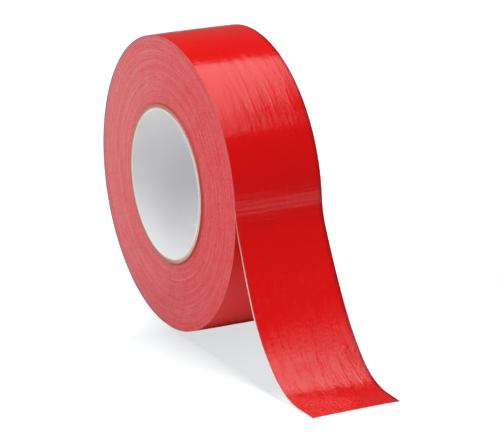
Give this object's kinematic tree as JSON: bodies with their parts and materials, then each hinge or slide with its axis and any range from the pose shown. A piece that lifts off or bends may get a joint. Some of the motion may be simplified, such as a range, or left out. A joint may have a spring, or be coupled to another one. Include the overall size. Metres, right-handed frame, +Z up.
{
  "type": "cloth tape roll",
  "caption": "Roll of red cloth-backed repair tape on a round board core, standing on its rim, with its loose end peeled off, hanging down and curling outwards.",
  "frame": {"origin": "middle of the core, on its axis, half way along its width", "axes": "+Y along the core's axis, +Z up as the roll stands on its rim, and the loose end reaches towards +X"},
  "size_m": [0.2293, 0.05, 0.1516],
  "materials": {
    "liner_paper": "smooth white paper, matte",
    "core_board": "grey-brown wound board, matte",
    "tape_edges": "cut tape edges, pinkish red, matte with fine rings",
    "red_film": "glossy red film with fine lengthwise streaks",
    "cotton_scrim": "open cotton mesh",
    "adhesive": "cream natural rubber adhesive, satin"
  },
  "bodies": {
    "roll": {"core_liner": "liner_paper", "core_inner_ply": "core_board", "core_middle_ply": "core_board", "core_outer_ply": "core_board", "wound_tape_pack": "tape_edges", "outer_turn_film": "red_film", "outer_turn_scrim": "cotton_scrim", "outer_turn_adhesive": "adhesive"},
    "tail_1": {"tail_1_film": "red_film", "tail_1_scrim": "cotton_scrim", "tail_1_adhesive": "adhesive"},
    "tail_2": {"tail_2_film": "red_film", "tail_2_scrim": "cotton_scrim", "tail_2_adhesive": "adhesive"},
    "tail_3": {"tail_3_film": "red_film", "tail_3_scrim": "cotton_scrim", "tail_3_adhesive": "adhesive"},
    "tail_4": {"tail_4_film": "red_film", "tail_4_scrim": "cotton_scrim", "tail_4_adhesive": "adhesive"}
  },
  "joints": [
    {"name": "peel_line_flex", "type": "hinge", "parent": "roll", "child": "tail_1", "pos_m": [0.07633, 0, 0.00166], "axis": [0, -1, 0], "range_deg": [0, 60], "stiffness_Nm_per_rad": 0.0006},
    {"name": "upper_tail_flex", "type": "hinge", "parent": "tail_1", "child": "tail_2", "pos_m": [0.08772, 0, -0.02498], "axis": [0, -1, 0], "range_deg": [0, 40], "stiffness_Nm_per_rad": 0.0006},
    {"name": "middle_tail_flex", "type": "hinge", "parent": "tail_2", "child": "tail_3", "pos_m": [0.1026, 0, -0.04984], "axis": [0, -1, 0], "range_deg": [0, 40], "stiffness_Nm_per_rad": 0.0006},
    {"name": "lower_tail_flex", "type": "hinge", "parent": "tail_3", "child": "tail_4", "pos_m": [0.12399, 0, -0.06917], "axis": [0, -1, 0], "range_deg": [0, 40], "stiffness_Nm_per_rad": 0.0006}
  ]
}
